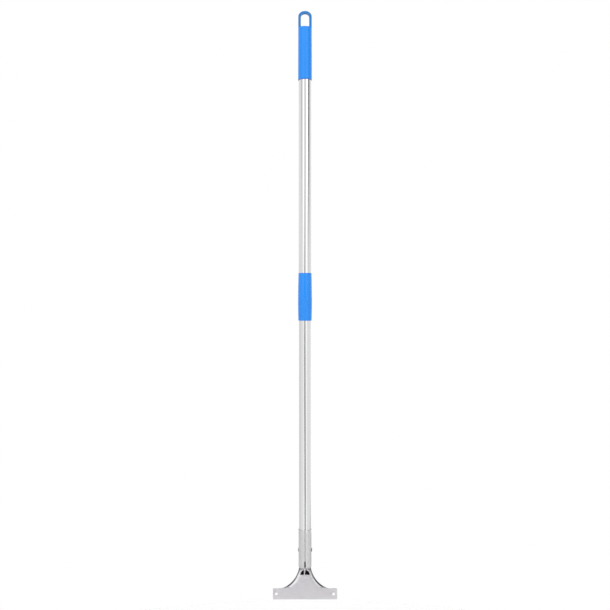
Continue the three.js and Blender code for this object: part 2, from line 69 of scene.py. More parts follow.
HEAD_HALF = radius_of("head_plate")
TAB_HEIGHT = 22.2
TAB_CORNER = 1.8
TAB_TOP_CORNER = 0.9
TAB_EDGE = 3.2                    # height of the thinned lower edge
TAB_EDGE_THINNING = 0.28
HOLE_RADIUS = 2.75
HOLE_X = 57.25
HOLE_HEIGHT = 10.8
HOLE_SIDES = 40
FLANK_RADIUS = 56.2               # the concave sides of the web, and their centres
FLANK_X = 67.0
FLANK_Z = 74.5
FLANGE_DEPTH = 8.0
FLANGE_WIDTH = 4.8
FLANGE_START = 27.0
BEND = 2.5
THROAT_BOTTOM = 49.0
THROAT_TOP = 59.0
NECK_ROUND = 66.0
NECK_TOP = height_of("head_plate", 1)
NECK_RADIUS = 11.95
NECK_OPENING = 1.9
ARCH_HALF = 9.0
ARCH_BOTTOM = 52.3
ARCH_HEIGHT = 10.1
RIB_LEFT = -2.1
RIB_FRONT_RIGHT = -0.2
RIB_RIGHT = 1.5
RIB_SLANT = 3.2
RIB_TOP = 64.0
RIB_FLARE = (52.0, 61.0)          # heights between which the rib's front widens

SLEEVE_RADIUS = 12.95
SLEEVE_BOTTOM = height_of("socket_sleeve", 0)
SLEEVE_TOP = height_of("socket_sleeve", 1)
SEAM_GAP = 0.22
SLIT_GAP = 1.2
SLIT_TOP = 81.0
SLIT_TIP = 4.0                    # length over which the seam opens into the slit
SLIT_FLARE = 0.35

INNER_RADIUS = radius_of("inner_tube")
INNER_WALL = 0.5
OUTER_RADIUS = radius_of("outer_tube")
OUTER_WALL = 0.4

RIVET_HEIGHT = (height_of("rivet_left", 0) + height_of("rivet_left", 1)) / 2
RIVET_HEAD = 3.8
RIVET_RISE = 1.25

COLLAR_BOTTOM = height_of("collar", 0)
COLLAR_TOP = height_of("collar", 1)
COLLAR_BELLY = 600.0
COLLAR_WIDE = radius_of("collar") - 0.01
COLLAR_TAPER = {"top": 0.75, "bottom": 0.65}
COLLAR_LIP = 8.5                  # length of the narrow mouth around the inner tube

GRIP_BOTTOM = height_of("grip", 0)
GRIP_WIDE = radius_of("grip")
GRIP_NARROW = 13.5
GRIP_BORE_TOP = 1128.5
GRIP_SHOULDER = 1.6
LOOP_HALF = 4.5
LOOP_FILLET = 1.5
LOOP_SHOULDER = 1143.5
LOOP_ARCH = 11.4
LOOP_HOLE_HALF = 8.4
LOOP_HOLE_ARCH = 7.0
LOOP_HOLE_BOTTOM = 1144.4
LOOP_HOLE_TOP = 1171.3
LOOP_HOLE_CORNER = 2.0


# ------------------------------------------------------------------ small tools
def mix(a, b, t):
    return a + (b - a) * t


def smooth(value, low, high):
    t = min(max((value - low) / (high - low), 0.0), 1.0)
    return t * t * (3 - 2 * t)


def steps(low, high, count):
    """count + 1 even steps from low to high."""
    return [mix(low, high, i / count) for i in range(count + 1)]


def make(name, points, faces, material, body, node):
    """A mesh piece from points in millimetres, with smooth shading broken at sharp edges."""
    mesh = bpy.data.meshes.new(name)
    mesh.from_pydata([(x * MM, y * MM, z * MM + LOWEST) for x, y, z in points], [], faces)
    tidy = bmesh.new()
    tidy.from_mesh(mesh)
    bmesh.ops.remove_doubles(tidy, verts=tidy.verts, dist=1e-7)
    bmesh.ops.recalc_face_normals(tidy, faces=tidy.faces)
    tidy.to_mesh(mesh)
    tidy.free()
    mesh.materials.append(material)
    piece = bpy.data.objects.new(name, mesh)
    bpy.context.scene.collection.objects.link(piece)
    shade(piece, 35)
    if node:
        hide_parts(node)
    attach(piece, body)
    return piece


def shade(piece, sharp):
    mesh = piece.data
    mesh.polygons.foreach_set("use_smooth", [True] * len(mesh.polygons))
    mesh.set_sharp_from_angle(angle=math.radians(sharp))


def bevel(piece, width, segments, angle):
    """Rounds a piece's sharp edges and fixes the result in its mesh."""
    modifier = piece.modifiers.new("rounding", "BEVEL")
    modifier.width = width * MM
    modifier.segments = segments
    modifier.limit_method = "ANGLE"
    modifier.angle_limit = math.radians(angle)
    settle(piece)


def even_normals(piece):
    """Lets the large flat faces set the normals at their edges, so that they shade flat."""
    modifier = piece.modifiers.new("normals", "WEIGHTED_NORMAL")
    modifier.keep_sharp = True
    settle(piece)


def settle(piece):
    """Replaces a piece's mesh by what its modifiers make of it."""
    graph = bpy.context.evaluated_depsgraph_get()
    made = bpy.data.meshes.new_from_object(piece.evaluated_get(graph))
    old = piece.data
    piece.modifiers.clear()
    piece.data = made
    made.name = piece.name
    bpy.data.meshes.remove(old)


def ring_faces(first, second, count):
    """Quads between two closed rings of points, given by their first points' numbers."""
    return [(first + i, first + (i + 1) % count, second + (i + 1) % count, second + i)
            for i in range(count)]


def turned(name, profile, material, body, node, sides=128):
    """A piece turned about the pole's axis from (radius, height) points that close on themselves
    or that start and end on the axis."""
    points, faces, rings = [], [], []
    for radius, z in profile:
        if radius < 1e-6:
            rings.append((len(points), 1))
            points.append((0.0, 0.0, z))
            continue
        rings.append((len(points), sides))
        for i in range(sides):
            angle = 2 * math.pi * i / sides
            points.append((radius * math.sin(angle), -radius * math.cos(angle), z))
    loops = zip(rings, rings[1:] + rings[:1])
    for (a, count_a), (b, count_b) in loops:
        if count_a == count_b == sides:
            faces += ring_faces(a, b, sides)
        elif count_a == sides:
            faces += [(a + i, a + (i + 1) % sides, b) for i in range(sides)]
        elif count_b == sides:
            faces += [(a, b + (i + 1) % sides, b + i) for i in range(sides)]
    return make(name, points, faces, material, body, node)


def arc(centre, radius, start, end, count):
    """Points on a circle in a profile, by angles in degrees."""
    return [(centre[0] + radius * math.cos(math.radians(a)),
             centre[1] + radius * math.sin(math.radians(a))) for a in steps(start, end, count)]


# ------------------------------------------------------------------ materials
def new_material(name):
    """A node material, with its tree and its shader."""
    material = bpy.data.materials.new(name)
    material.use_nodes = True
    tree = material.node_tree
    shader = tree.nodes["Principled BSDF"]
    return material, tree, shader


def object_coords(tree, scale):
    """Object coordinates, stretched by a scale for each axis."""
    source = tree.nodes.new("ShaderNodeTexCoord")
    mapping = tree.nodes.new("ShaderNodeMapping")
    mapping.inputs["Scale"].default_value = scale
    tree.links.new(source.outputs["Object"], mapping.inputs["Vector"])
    return mapping.outputs["Vector"]


def noise(tree, scale, detail):
    """Cloudy noise, as fine along each of the object's axes as its scale says."""
    node = tree.nodes.new("ShaderNodeTexNoise")
    node.inputs["Scale"].default_value = 1.0
    node.inputs["Detail"].default_value = detail
    node.inputs["Roughness"].default_value = 0.55
    tree.links.new(object_coords(tree, scale), node.inputs["Vector"])
    return node.outputs["Fac"]


def facing(tree, axis):
    """How far the surface looks along one of the object's own axes, -1 to 1."""
    source = tree.nodes.new("ShaderNodeTexCoord")
    axes = tree.nodes.new("ShaderNodeSeparateXYZ")
    tree.links.new(source.outputs["Normal"], axes.inputs["Vector"])
    return axes.outputs[axis]


def place(tree, axis):
    """The position along one of the frame's axes, in metres."""
    source = tree.nodes.new("ShaderNodeTexCoord")
    axes = tree.nodes.new("ShaderNodeSeparateXYZ")
    tree.links.new(source.outputs["Object"], axes.inputs["Vector"])
    return axes.outputs[axis]


def by_height(tree, start, full, to_start=0.0, to_full=1.0):
    """A share that changes between two heights, in millimetres above the head's lower edge."""
    return spread(tree, place(tree, "Z"), start * MM + LOWEST, full * MM + LOWEST, to_start, to_full)


def beside_flank(tree):
    """How far a point of the head lies in from its left flank."""
    node = tree.nodes.new("ShaderNodeVectorMath")
    node.operation = "DISTANCE"
    tree.links.new(object_coords(tree, (1, 1, 1)), node.inputs[0])
    node.inputs[1].default_value = (-FLANK_X * MM, 0, LOWEST + FLANK_Z * MM)
    return total_of(tree, node.outputs["Value"], -FLANK_RADIUS * MM)


def tinted(tree, color, factor, tint):
    """A colour multiplied by a tint as far as the factor says."""
    node = tree.nodes.new("ShaderNodeMix")
    node.data_type = "RGBA"
    node.blend_type = "MULTIPLY"
    tree.links.new(factor, node.inputs[0])
    tree.links.new(color, node.inputs[6])
    node.inputs[7].default_value = (*tint, 1)
    return node.outputs[2]


def spread(tree, value, low, high, to_low, to_high):
    """Maps a value's range low to high onto another range, and keeps it inside that range."""
    node = tree.nodes.new("ShaderNodeMapRange")
    for key, number in (("From Min", low), ("From Max", high), ("To Min", to_low), ("To Max", to_high)):
        node.inputs[key].default_value = number
    tree.links.new(value, node.inputs["Value"])
    return node.outputs["Result"]


def total_of(tree, first, second, operation="ADD"):
    """The sum of two values, or what another operation makes of them."""
    node = tree.nodes.new("ShaderNodeMath")
    node.operation = operation
    tree.links.new(first, node.inputs[0])
    if isinstance(second, (int, float)):
        node.inputs[1].default_value = second
    else:
        tree.links.new(second, node.inputs[1])
    return node.outputs["Value"]


def blend_colors(tree, factor, low, high):
    """A colour between two others."""
    node = tree.nodes.new("ShaderNodeMix")
    node.data_type = "RGBA"
    node.inputs[6].default_value = (*low, 1)
    node.inputs[7].default_value = (*high, 1)
    tree.links.new(factor, node.inputs[0])
    return node.outputs[2]


def bump(tree, shader, value, distance, strength, under=None):
    """A bump of some millimetres on the shader's normal, over another bump if one is given."""
    node = tree.nodes.new("ShaderNodeBump")
    node.inputs["Distance"].default_value = distance * MM
    node.inputs["Strength"].default_value = strength
    tree.links.new(value, node.inputs["Height"])
    if under:
        tree.links.new(under, node.inputs["Normal"])
    tree.links.new(node.outputs["Normal"], shader.inputs["Normal"])
    return node.outputs["Normal"]


def polished_tube(name, color):
    """Bright drawn tube: fine lines along it, a faint waviness and patches of haze."""
    material, tree, shader = new_material(name)
    shader.inputs["Metallic"].default_value = 1.0
    haze = noise(tree, (60, 60, 12), 4.0)
    lines = noise(tree, (900, 900, 9), 3.0)
    rough = total_of(tree, spread(tree, haze, 0.3, 0.7, 0.11, 0.17),
                     spread(tree, lines, 0.35, 0.7, 0.0, 0.05))
    tree.links.new(rough, shader.inputs["Roughness"])
    shade_color = blend_colors(tree, spread(tree, lines, 0.3, 0.7, 0.0, 1.0),
                               [c * 0.97 for c in color], color)
    tree.links.new(shade_color, shader.inputs["Base Color"])
    waviness = noise(tree, (30, 30, 6), 1.0)
    soft = bump(tree, shader, waviness, 0.05, 0.25)
    bump(tree, shader, lines, 0.01, 0.25, soft)
    return material


def satin_sheet(name, color, roughness, flanged=False):
    """Stamped steel sheet with a rolled grain and a slightly uneven tone. A flanged sheet has painted
    shade where it stands forward, a painted shadow under the sleeve, painted shade along its rolled
    sides and a painted highlight in a band beside its left flank."""
    material, tree, shader = new_material(name)
    shader.inputs["Metallic"].default_value = 1.0
    grain = noise(tree, (70, 70, 1400), 4.0)
    mottled = noise(tree, (90, 90, 90), 5.0)
    tone = total_of(tree, spread(tree, grain, 0.3, 0.7, 0.0, 0.6),
                    spread(tree, mottled, 0.3, 0.7, 0.0, 0.4))
    shade_color = blend_colors(tree, tone, [c * 0.93 for c in color], [c * 1.05 for c in color])
    if flanged:
        # painted shade: the sheet is darker where it stands forward of the web
        forward = spread(tree, place(tree, "Y"), -0.6 * MM, -2.2 * MM, 0.0, 1.0)
        shade_color = tinted(tree, shade_color, forward, (0.75, 0.75, 0.75))
        # painted shade: a dark outline where the rolled sides turn away from the front
        looks_back = total_of(tree, facing(tree, "Y"), by_height(tree, 30.0, 62.0, 0.0, -0.19))
        flank = total_of(tree, spread(tree, looks_back, -0.86, -0.68, 0.0, 1.0),
                         spread(tree, looks_back, -0.4, 0.3, 1.0, 0.0), "MULTIPLY")
        flank = total_of(tree, flank, forward, "MULTIPLY")
        shade_color = tinted(tree, shade_color, flank, (0.25, 0.25, 0.25))
        # painted shadow on the neck under the sleeve's rim
        shade_color = tinted(tree, shade_color, by_height(tree, 60.8, 62.8), (0.7, 0.7, 0.7))
        # painted highlight: a band beside the left flank is lighter
        inward = beside_flank(tree)
        painted_highlight = total_of(tree, spread(tree, inward, 1.6 * MM, 2.8 * MM, 0.0, 1.0),
                          spread(tree, inward, 6.0 * MM, 9.5 * MM, 1.0, 0.0), "MULTIPLY")
        painted_highlight = total_of(tree, painted_highlight, by_height(tree, 22.5, 34.0), "MULTIPLY")
        painted_highlight = total_of(tree, painted_highlight, by_height(tree, 64.0, 55.0), "MULTIPLY")
        shade_color = tinted(tree, shade_color, painted_highlight, (1.45, 1.45, 1.45))
    tree.links.new(shade_color, shader.inputs["Base Color"])
    rough = total_of(tree, spread(tree, mottled, 0.3, 0.7, roughness - 0.04, roughness + 0.04),
                     spread(tree, grain, 0.3, 0.7, -0.04, 0.04))
    tree.links.new(rough, shader.inputs["Roughness"])
    bump(tree, shader, grain, 0.02, 0.2)
    return material


def painted_inner_shade(name):
    """Painted shade: a near-black sheet for the inside of the rolled neck, where the inside lies in
    shade.
    """
    material, tree, shader = new_material(name)
    shader.inputs["Metallic"].default_value = 0.6
    patches = noise(tree, (300, 300, 300), 4.0)
    tree.links.new(blend_colors(tree, patches, (0.02, 0.02, 0.021), (0.06, 0.058, 0.056)),
                   shader.inputs["Base Color"])
    tree.links.new(spread(tree, patches, 0.3, 0.7, 0.5, 0.8), shader.inputs["Roughness"])
    bump(tree, shader, patches, 0.05, 0.4)
    return material


def moulded_plastic(name, color, roughness, texture=0.03, gloss_ramp=None, painted_shade_ramps=()):
    """Semi-gloss moulded plastic: orange peel, faint flow marks and slightly uneven gloss. A gloss
    ramp (low height, high height, added roughness at the low end) wears the lower part satin, and
    painted shade ramps (height where it starts, height where it is full, tint) darken the colour with
    painted shade."""
    material, tree, shader = new_material(name)
    flow = noise(tree, (25, 25, 8), 3.0)
    peel = noise(tree, (900, 900, 900), 2.0)
    shade_color = blend_colors(tree, spread(tree, flow, 0.3, 0.7, 0.0, 1.0),
                               [c * 0.96 for c in color], [min(c * 1.03, 1.0) for c in color])
    # painted shade, ramped in by height
    for start, full, tint in painted_shade_ramps:
        shade_color = tinted(tree, shade_color, by_height(tree, start, full), tint)
    tree.links.new(shade_color, shader.inputs["Base Color"])
    gloss = total_of(tree, spread(tree, flow, 0.3, 0.7, roughness - 0.02, roughness + 0.02),
                     spread(tree, peel, 0.3, 0.7, -0.01, 0.02))
    if gloss_ramp:
        low, high, more = gloss_ramp
        gloss = total_of(tree, gloss, by_height(tree, low, high, more, 0.0))
    tree.links.new(gloss, shader.inputs["Roughness"])
    bump(tree, shader, peel, texture, 0.3)
    return material


def plated_steel(name, color, roughness):
    """Zinc-plated small parts with a cloudy finish."""
    material, tree, shader = new_material(name)
    shader.inputs["Metallic"].default_value = 1.0
    cloud = noise(tree, (400, 400, 400), 4.0)
    tree.links.new(blend_colors(tree, cloud, [c * 0.85 for c in color], color),
                   shader.inputs["Base Color"])
    tree.links.new(spread(tree, cloud, 0.3, 0.7, roughness - 0.06, roughness + 0.08),
                   shader.inputs["Roughness"])
    bump(tree, shader, cloud, 0.02, 0.2)
    return material


tube_steel = polished_tube("tube_steel", (0.68, 0.68, 0.683))
stamped_steel = satin_sheet("stamped_steel", (0.69, 0.674, 0.7), 0.33, True)
sleeve_steel = satin_sheet("sleeve_steel", (0.578, 0.571, 0.577), 0.32)
inside_painted_shade = painted_inner_shade("inside_painted_shade")
# painted shade: the loop above the grip's shoulder and the grip's lower rim are darker
blue_grip = moulded_plastic("blue_grip", (0.003, 0.218, 0.735), 0.36, 0.01,
                            painted_shade_ramps=((LOOP_SHOULDER - 1.0, LOOP_SHOULDER + 4.0, (0.9, 0.7, 0.6)),
                                        (GRIP_BOTTOM + 3.5, GRIP_BOTTOM + 0.8, (1.0, 0.7, 0.75))))
# painted shade along the collar's top rim
blue_collar = moulded_plastic("blue_collar", (0.004, 0.218, 0.735), 0.12, 0.0015,
                              gloss_ramp=(595.0, 618.0, 0.3),
                              painted_shade_ramps=((COLLAR_TOP - 2.6, COLLAR_TOP - 0.8, (1.0, 0.78, 0.9)),))
rivet_steel = plated_steel("rivet_steel", (0.62, 0.62, 0.63), 0.28)
# painted shade: a darker copy of the rivet finish for the right rivet
rivet_shaded = plated_steel("rivet_shaded", (0.26, 0.26, 0.27), 0.4)
zinc_steel = plated_steel("zinc_steel", (0.55, 0.56, 0.58), 0.35)
black_plastic = moulded_plastic("black_plastic", (0.02, 0.02, 0.022), 0.5)
nylon = moulded_plastic("nylon", (0.72, 0.71, 0.66), 0.42)
black_rubber = moulded_plastic("black_rubber", (0.015, 0.015, 0.015), 0.75, 0.05)


# ------------------------------------------------------------------ head plate
def half_width(z):
    """The web's or neck's half width at a height, out to the flank."""
    rise = FLANK_Z - min(z, FLANK_Z)
    return max(FLANK_X - math.sqrt(FLANK_RADIUS ** 2 - rise ** 2), NECK_RADIUS)


def floor_depth(z):
    """How far behind the tab's plane the web lies at a height."""
    rise = min(max((z - THROAT_BOTTOM) / (THROAT_TOP - THROAT_BOTTOM), 0.0), 1.0)
    return (NECK_RADIUS - SHEET / 2) * math.sin(rise * math.pi / 2)


def lip_distance(z):
    """How far the flange's or neck's lip is from the centre line at a height."""
    slope = math.sqrt(1 - (max(FLANK_Z - z, 0) / FLANK_RADIUS) ** 2)
    lip = half_width(z) - SHEET / 2 - FLANGE_WIDTH / slope
    up = min((z - ARCH_BOTTOM) / ARCH_HEIGHT, 1.0)
    if up > 0:
        lip = min(lip, max(ARCH_HALF * math.sqrt(1 - up ** 2), NECK_OPENING))
    return lip


def bezier(a, b, c, d, t):
    s = 1 - t
    return tuple(s ** 3 * p + 3 * s * s * t * q + 3 * s * t * t * r + t ** 3 * u
                 for p, q, r, u in zip(a, b, c, d))


def half_section(z):
    """One side of the web's or neck's section at a height, from the centre line to the lip."""
    quarter = 0.5523
    side = half_width(z) - SHEET / 2
    flat = 1 - smooth(z, THROAT_BOTTOM, NECK_ROUND)
    raised = smooth(z, TAB_HEIGHT, FLANGE_START)
    depth = floor_depth(z)
    bend_x = (side - BEND) * flat ** 2
    bend_y = -BEND * flat * raised
    floor = [(mix(0, bend_x, i / 8), depth) for i in range(8)] if bend_x > 0.05 else \
        [(i * 0.02, depth) for i in range(8)]
    corner = [bezier((bend_x, depth), (mix(bend_x, side, quarter), depth),
                     (side, mix(bend_y, depth, quarter)), (side, bend_y), t)
              for t in steps(0.0 if bend_x > 0.05 else 0.02, 1, 16)]
    neck = NECK_RADIUS - SHEET / 2
    sweep = math.acos(NECK_OPENING / neck)
    reach = raised * mix(neck * math.sin(sweep), FLANGE_DEPTH, flat) + bend_y
    wing = []
    for along in steps(0, 1, 14)[1:]:
        turn = along * sweep
        curl = (side - lip_distance(z)) * (1 - math.cos(turn)) / (1 - math.cos(sweep))
        wing.append((mix(side + along, side - curl, raised),
                     bend_y - reach * math.sin(turn) / math.sin(sweep)))
    return floor + corner + wing


def full_section(z):
    half = half_section(z)
    return [(-x, y, z) for x, y in reversed(half[1:])] + [(x, y, z) for x, y in half]


def thicken(points, faces, thickness):
    """Gives a sheet's middle surface its thickness, with walls along its free edges."""
    mid = bmesh.new()
    verts = [mid.verts.new(p) for p in points]
    for face in faces:
        mid.faces.new([verts[i] for i in face])
    bmesh.ops.remove_doubles(mid, verts=mid.verts, dist=1e-4)
    bmesh.ops.recalc_face_normals(mid, faces=mid.faces)
    mid.verts.index_update()
    mid.normal_update()
    count = len(mid.verts)
    offset = [v.normal * thickness / 2 for v in mid.verts]
    made = [tuple(v.co + offset[v.index]) for v in mid.verts]
    made += [tuple(v.co - offset[v.index]) for v in mid.verts]
    shell = [tuple(v.index for v in f.verts) for f in mid.faces]
    shell += [tuple(i + count for i in reversed(face)) for face in shell]
    for edge in mid.edges:
        if len(edge.link_faces) == 1:
            loop = edge.link_loops[0]
            a, b = loop.vert.index, loop.link_loop_next.vert.index
            shell.append((b, a, a + count, b + count))
    mid.free()
    return made, shell


def tab_outline(top):
    """The tab's edge as points in X and Z, counter-clockwise, with the web's first row as its top."""
    half = HEAD_HALF
    outline = arc((half - TAB_CORNER, TAB_CORNER), TAB_CORNER, -90, 0, 6)
    outline += arc((half - TAB_TOP_CORNER, TAB_HEIGHT - TAB_TOP_CORNER), TAB_TOP_CORNER, 0, 90, 4)
    outline += [(x, TAB_HEIGHT) for x in sorted(top, reverse=True)]
    outline += arc((-half + TAB_TOP_CORNER, TAB_HEIGHT - TAB_TOP_CORNER), TAB_TOP_CORNER, 90, 180, 4)
    outline += arc((-half + TAB_CORNER, TAB_CORNER), TAB_CORNER, 180, 270, 6)
    return outline


def head_plate():
    """The tab, web, flanges and neck, as one sheet."""
    levels = steps(TAB_HEIGHT, FLANGE_START, 10)[:-1] + steps(FLANGE_START, THROAT_BOTTOM, 16)[:-1]
    levels += steps(THROAT_BOTTOM, NECK_ROUND, 34)[:-1] + [NECK_ROUND, 70.0, NECK_TOP]
    rows = [full_section(z) for z in levels]
    columns = len(rows[0])
    points = [p for row in rows for p in row]
    faces = [(i * columns + j, i * columns + j + 1, (i + 1) * columns + j + 1, (i + 1) * columns + j)
             for i in range(len(rows) - 1) for j in range(columns - 1)]

    outline = tab_outline([p[0] for p in rows[0]])
    rim = [Vector(p) for p in outline]
    edges = [(i, (i + 1) % len(rim)) for i in range(len(rim))]
    for centre in (-HOLE_X, HOLE_X):
        start = len(rim)
        circle = arc((centre, HOLE_HEIGHT), HOLE_RADIUS, 0, 360, HOLE_SIDES)[:-1]
        rim += [Vector(p) for p in circle]
        edges += [(start + i, start + (i + 1) % HOLE_SIDES) for i in range(HOLE_SIDES)]
    # a line across the tab where its lower edge starts to thin
    start = len(rim)
    rim += [Vector((-HEAD_HALF, TAB_EDGE)), Vector((HEAD_HALF, TAB_EDGE))]
    edges.append((start, start + 1))
    flat = delaunay_2d_cdt(rim, edges, [], 0, 1e-5)
    base = len(points)
    points += [(p.x, 0.0, p.y) for p in flat[0]]
    for triangle in flat[2]:
        middle = sum((flat[0][i] for i in triangle), Vector((0, 0))) / len(triangle)
        if (Vector((abs(middle.x), middle.y)) - Vector((HOLE_X, HOLE_HEIGHT))).length > HOLE_RADIUS:
            faces.append(tuple(base + i for i in triangle))
    made, shell = thicken(points, faces, SHEET)
    # the lower edge is thinned from the front
    made = [(x, max(y, TAB_EDGE_THINNING * (1 - z / TAB_EDGE) - SHEET / 2), z)
            if z < TAB_EDGE and y < 0 else (x, y, z) for x, y, z in made]
    plate = make("head_plate_shell", made, shell, stamped_steel, "lower_pole", "head_plate")
    bevel(plate, 0.12, 2, 55)
    # the neck's inward faces get the painted shade
    plate.data.materials.append(inside_painted_shade)
    for face in plate.data.polygons:
        x, y, z = face.center / MM
        z -= LOWEST / MM
        inward = Vector((x, y, 0)).dot(face.normal) < 0
        # the painted shade's lower edge curves up towards the flanks
        painted_shade_start = THROAT_BOTTOM + 0.15 + 0.12 * max(abs(x) - 5.5, 0.0) ** 2
        if z > painted_shade_start and inward:
            face.material_index = 1
    shade(plate, 40)
    even_normals(plate)


def throat_rib():
    """The rib that stands in the throat from the web's front face to the neck's rear wall. Its front
    is narrow, with a flare towards the top, and its right side slants away behind it."""
    front = -SHEET / 2 - 0.02
    rows = steps(THROAT_BOTTOM - 1.5, RIB_TOP, 24)
    points = []
    for z in rows:
        back = min(floor_depth(z) + 0.1, NECK_RADIUS - SHEET / 2)
        front_right = mix(RIB_FRONT_RIGHT, RIB_RIGHT - 0.05, smooth(z, *RIB_FLARE))
        plan = [(RIB_LEFT, front), (front_right, front), (RIB_RIGHT, RIB_SLANT)]
        section = [(x, min(y, back)) for x, y in plan] + [(RIB_RIGHT, back), (RIB_LEFT, back)]
        points += [(x, y, z) for x, y in section]
    count = 5
    faces = [tuple(range(count)), tuple(range(len(points) - 1, len(points) - 1 - count, -1))]
    for i in range(len(rows) - 1):
        faces += ring_faces(i * count, (i + 1) * count, count)
    make("throat_rib", points, faces, stamped_steel, "lower_pole", None)


# ------------------------------------------------------------------ socket sleeve
def socket_sleeve():
    """The rolled sleeve, with a seam at its front that opens into the slit."""
    middle = SLEEVE_RADIUS - SHEET / 2
    columns = 120
    levels = steps(SLEEVE_BOTTOM, SLIT_TOP - SLIT_TIP, 8) + steps(SLIT_TOP - SLIT_TIP, SLIT_TOP, 4)[1:]
    levels += steps(SLIT_TOP, SLEEVE_TOP, 6)[1:]
    points = []
    for z in levels:
        opening = 1 - smooth(z, SLEEVE_BOTTOM, SLIT_TOP)
        gap = mix(SLIT_GAP, SEAM_GAP, min(max((z - SLIT_TOP + SLIT_TIP) / SLIT_TIP, 0.0), 1.0))
        reach = math.pi - math.asin(gap / middle)
        for angle in steps(-reach, reach, columns):
            radius = middle + SLIT_FLARE * opening * abs(angle / math.pi) ** 8
            points.append((radius * math.sin(angle), radius * math.cos(angle), z))
    row = columns + 1
    faces = [(i * row + j, i * row + j + 1, (i + 1) * row + j + 1, (i + 1) * row + j)
             for i in range(len(levels) - 1) for j in range(columns)]
    made, shell = thicken(points, faces, SHEET)
    sleeve = make("socket_sleeve_shell", made, shell, sleeve_steel, "lower_pole", "socket_sleeve")
    bevel(sleeve, 0.15, 2, 55)
    # the sleeve's inward faces get the painted shade
    sleeve.data.materials.append(inside_painted_shade)
    for face in sleeve.data.polygons:
        if Vector((face.center.x, face.center.y, 0)).dot(face.normal) < 0:
            face.material_index = 1
    shade(sleeve, 40)


# ------------------------------------------------------------------ rivets
def rivet(side, suffix, finish):
    """A blind rivet through the sleeve's side, with its mandrel, turned upright and then laid down."""
    seat = SLEEVE_RADIUS + 0.1
    dome = [(RIVET_HEAD * math.cos(math.radians(a)) ** 0.8,
             seat + 0.25 + (RIVET_RISE - 0.25) * math.sin(math.radians(a))) for a in steps(0, 66, 9)]
    profile = [(1.1, 9.0), (2.0, 9.0), (2.6, 9.8), (2.6, 11.0), (2.0, 11.3), (2.0, seat),
               (RIVET_HEAD - 0.1, seat), (RIVET_HEAD, seat + 0.1)] + dome
    profile += [(1.25, seat + RIVET_RISE - 0.04), (1.1, seat + RIVET_RISE - 0.2)]
    head = turned(f"rivet_{suffix}_shell", profile, finish, "lower_pole", f"rivet_{suffix}",
                  sides=48)
    tip = seat + RIVET_RISE - 0.45
    pin = turned(f"rivet_mandrel_{suffix}_shell",
                 [(0, 6.0), (1.4, 6.1), (1.9, 6.6), (1.9, 7.7), (0.85, 8.2), (0.85, tip),
                  (0.7, tip + 0.12), (0.3, tip + 0.02), (0, tip + 0.08)],
                 zinc_steel, "lower_pole", f"rivet_mandrel_{suffix}", sides=32)
    for piece in (head, pin):
        for vertex in piece.data.vertices:
            x, y, z = vertex.co.x, vertex.co.y, vertex.co.z - LOWEST
            vertex.co = Vector((side * z, y, side * -x + RIVET_HEIGHT * MM + LOWEST))


# ------------------------------------------------------------------ pole, collar and grip
def tube(name, node, radius, wall, body):
    """One stage of the pole, with its ends' edges broken."""
    low = height_of(node, 0)
    high = height_of(node, 1)
    edge = wall * 0.35
    levels = steps(low + edge, high - edge, 24)
    profile = [(radius - wall, low + edge), (radius - wall + edge, low), (radius - edge, low)]
    profile += [(radius, z) for z in levels]
    profile += [(radius - edge, high), (radius - wall + edge, high), (radius - wall, high - edge)]
    turned(name, profile, tube_steel, body, node)


def collar():
    """The barrel-shaped sleeve, wide at its belly, with rounded ends."""
    def radius(z):
        if z > COLLAR_BELLY:
            share = (z - COLLAR_BELLY) / (COLLAR_TOP - COLLAR_BELLY)
            return COLLAR_WIDE - COLLAR_TAPER["top"] * share ** 2
        share = (COLLAR_BELLY - z) / (COLLAR_BELLY - COLLAR_BOTTOM)
        return COLLAR_WIDE - COLLAR_TAPER["bottom"] * share ** 2

    lip = INNER_RADIUS + 0.2
    bore = OUTER_RADIUS + 0.1
    low_round = 0.7
    high_round = 0.3
    low_edge = radius(COLLAR_BOTTOM + low_round)
    high_edge = radius(COLLAR_TOP - high_round)
    profile = [(lip, COLLAR_BOTTOM + COLLAR_LIP), (lip, COLLAR_BOTTOM + 0.3),
               (lip + 0.3, COLLAR_BOTTOM)]
    profile += arc((low_edge - low_round, COLLAR_BOTTOM + low_round), low_round, -90, 0, 6)
    profile += [(radius(z), z) for z in steps(COLLAR_BOTTOM + low_round, COLLAR_TOP - high_round, 40)]
    profile += arc((high_edge - high_round, COLLAR_TOP - high_round), high_round, 0, 90, 4)
    profile += [(bore, COLLAR_TOP), (bore, COLLAR_BOTTOM + COLLAR_LIP)]
    turned("collar_shell", profile, blue_collar, "upper_pole", "collar")


